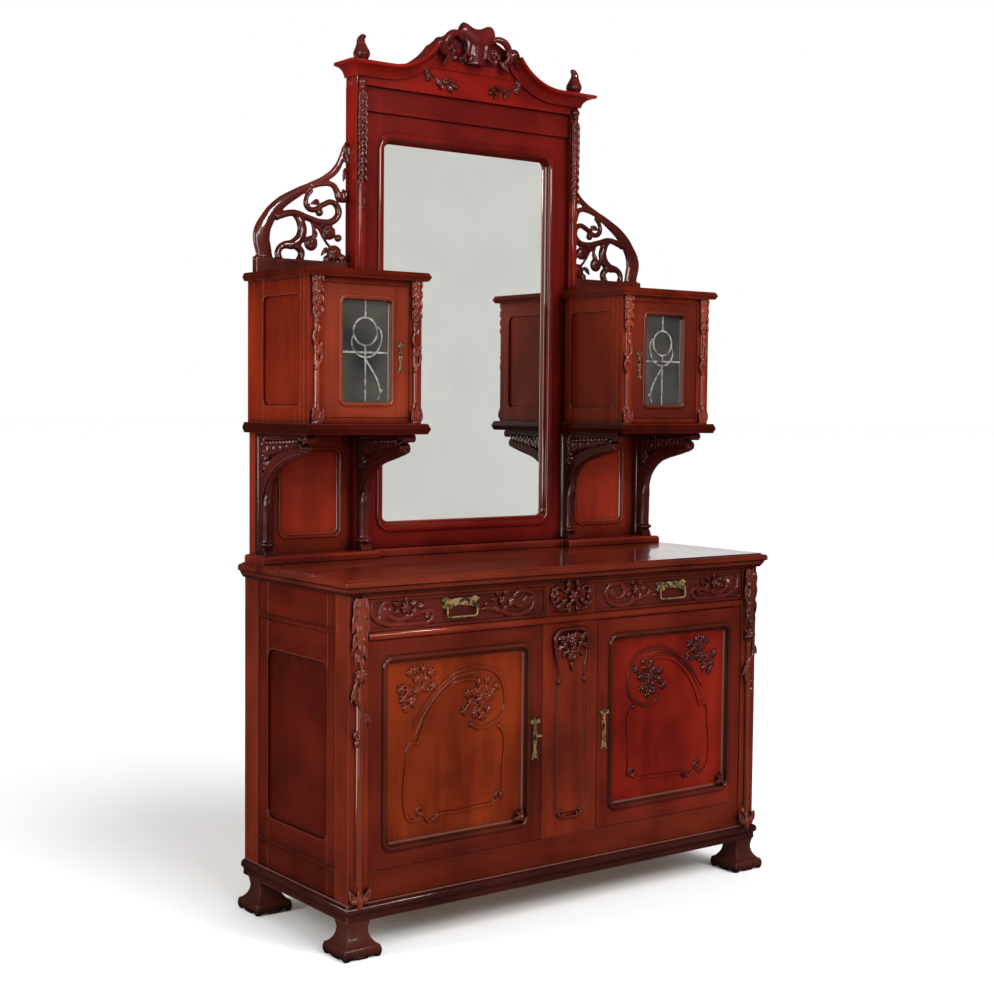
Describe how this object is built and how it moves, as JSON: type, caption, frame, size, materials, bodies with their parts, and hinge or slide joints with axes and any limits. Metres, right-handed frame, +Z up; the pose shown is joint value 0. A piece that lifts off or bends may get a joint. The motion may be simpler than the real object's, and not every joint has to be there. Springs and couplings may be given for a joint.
{
  "type": "sideboard",
  "caption": "Mahogany sideboard with a tall mirror back, hanging glazed side cabinets on pierced consoles, drawers and panelled cupboard doors.",
  "frame": {"origin": "on the floor under the middle of the bounding box", "axes": "+Z up, the front with the doors faces -Y, the flat back faces +Y, +X to the right seen from the front"},
  "size_m": [1.45, 0.554, 2.458],
  "materials": {
    "mahogany": "French-polished red-brown mahogany, dark in the recesses",
    "mahogany_panel": "French-polished figured mahogany veneer, warmer than the frame",
    "secondary_wood": "plain oiled softwood and oak of the inside",
    "brass": "old polished brass with a dull film",
    "lock_steel": "dull steel of locks, bolts and pivots",
    "leaded_glass": "greyish textured glass of the cabinet doors",
    "lead": "soft grey lead cames",
    "mirror_glass": "silvered glass with rounded corners"
  },
  "bodies": {
    "carcase": {"cabinet_case_left": "mahogany", "cabinet_case_right": "mahogany", "case_back": "secondary_wood", "case_bottom": "secondary_wood", "centre_stile": "mahogany", "consoles_left": "mahogany", "consoles_right": "mahogany", "corner_posts": "mahogany", "cornice": "mahogany", "crest": "mahogany", "cupboard_shelf": "secondary_wood", "drawer_runners": "secondary_wood", "feet": "mahogany", "finials": "mahogany", "fret_left": "mahogany", "fret_right": "mahogany", "front_rails": "mahogany", "hinge_pins": "lock_steel", "hutch_frame": "mahogany", "hutch_panels": "mahogany_panel", "hutch_plinth": "mahogany", "mirror_back": "secondary_wood", "mirror_frame": "mahogany", "mirror_glass": "mirror_glass", "mirror_moulding": "mahogany", "mirror_posts": "mahogany", "pediment": "mahogany", "plinth_moulding": "mahogany", "shelf_cleats": "secondary_wood", "side_frames": "mahogany", "side_panels": "mahogany_panel", "worktop": "mahogany"},
    "lower_door_left": {"lower_door_frame_left": "mahogany", "lower_door_panel_left": "mahogany_panel", "lower_door_moulding_left": "mahogany", "lower_door_escutcheon_left": "brass", "lower_door_fittings_left": "lock_steel"},
    "cabinet_door_left": {"cabinet_door_frame_left": "mahogany", "cabinet_door_glass_left": "leaded_glass", "cabinet_door_cames_left": "lead", "cabinet_door_fittings_left": "brass"},
    "drawer_left": {"drawer_front_left": "mahogany", "drawer_box_left": "secondary_wood", "drawer_plate_left": "brass"},
    "bail_left": {"drawer_bail_left": "brass"},
    "lower_door_right": {"lower_door_frame_right": "mahogany", "lower_door_panel_right": "mahogany_panel", "lower_door_moulding_right": "mahogany", "lower_door_escutcheon_right": "brass", "lower_door_fittings_right": "lock_steel"},
    "cabinet_door_right": {"cabinet_door_frame_right": "mahogany", "cabinet_door_glass_right": "leaded_glass", "cabinet_door_cames_right": "lead", "cabinet_door_fittings_right": "brass"},
    "drawer_right": {"drawer_front_right": "mahogany", "drawer_box_right": "secondary_wood", "drawer_plate_right": "brass"},
    "bail_right": {"drawer_bail_right": "brass"},
    "key": {"door_key": "brass"},
    "bolt": {"door_bolt": "lock_steel"}
  },
  "joints": [
    {"name": "lower_door_left_hinge", "type": "hinge", "parent": "carcase", "child": "lower_door_left", "pos_m": [-0.6305, -0.245, 0.2085], "axis": [0, 0, -1], "range_deg": [0, 105]},
    {"name": "cabinet_door_left_hinge", "type": "hinge", "parent": "carcase", "child": "cabinet_door_left", "pos_m": [-0.6335, -0.036, 1.3325], "axis": [0, 0, -1], "range_deg": [0, 105]},
    {"name": "drawer_left_slide", "type": "slide", "parent": "carcase", "child": "drawer_left", "axis": [0, -1, 0], "range_m": [0, 0.33]},
    {"name": "bail_left_swing", "type": "hinge", "parent": "drawer_left", "child": "bail_left", "pos_m": [-0.3655, -0.258, 0.85566], "axis": [-1, 0, 0], "range_deg": [0, 80]},
    {"name": "lower_door_right_hinge", "type": "hinge", "parent": "carcase", "child": "lower_door_right", "pos_m": [0.6305, -0.245, 0.2085], "axis": [0, 0, 1], "range_deg": [0, 105]},
    {"name": "cabinet_door_right_hinge", "type": "hinge", "parent": "carcase", "child": "cabinet_door_right", "pos_m": [0.6335, -0.036, 1.3325], "axis": [0, 0, 1], "range_deg": [0, 105]},
    {"name": "drawer_right_slide", "type": "slide", "parent": "carcase", "child": "drawer_right", "axis": [0, -1, 0], "range_m": [0, 0.33]},
    {"name": "bail_right_swing", "type": "hinge", "parent": "drawer_right", "child": "bail_right", "pos_m": [0.3655, -0.258, 0.85566], "axis": [-1, 0, 0], "range_deg": [0, 80]},
    {"name": "key_turn", "type": "hinge", "parent": "lower_door_left", "child": "key", "pos_m": [-0.1205, -0.2335, 0.493], "axis": [0, 1, 0], "range_deg": [0, 180]},
    {"name": "bolt_slide", "type": "slide", "parent": "lower_door_left", "child": "bolt", "axis": [1, 0, 0], "range_m": [0, 0.009]}
  ],
  "couplings": [
    {"joint": "bolt_slide", "follows": "key_turn", "m_per_rad": 0.00286}
  ]
}
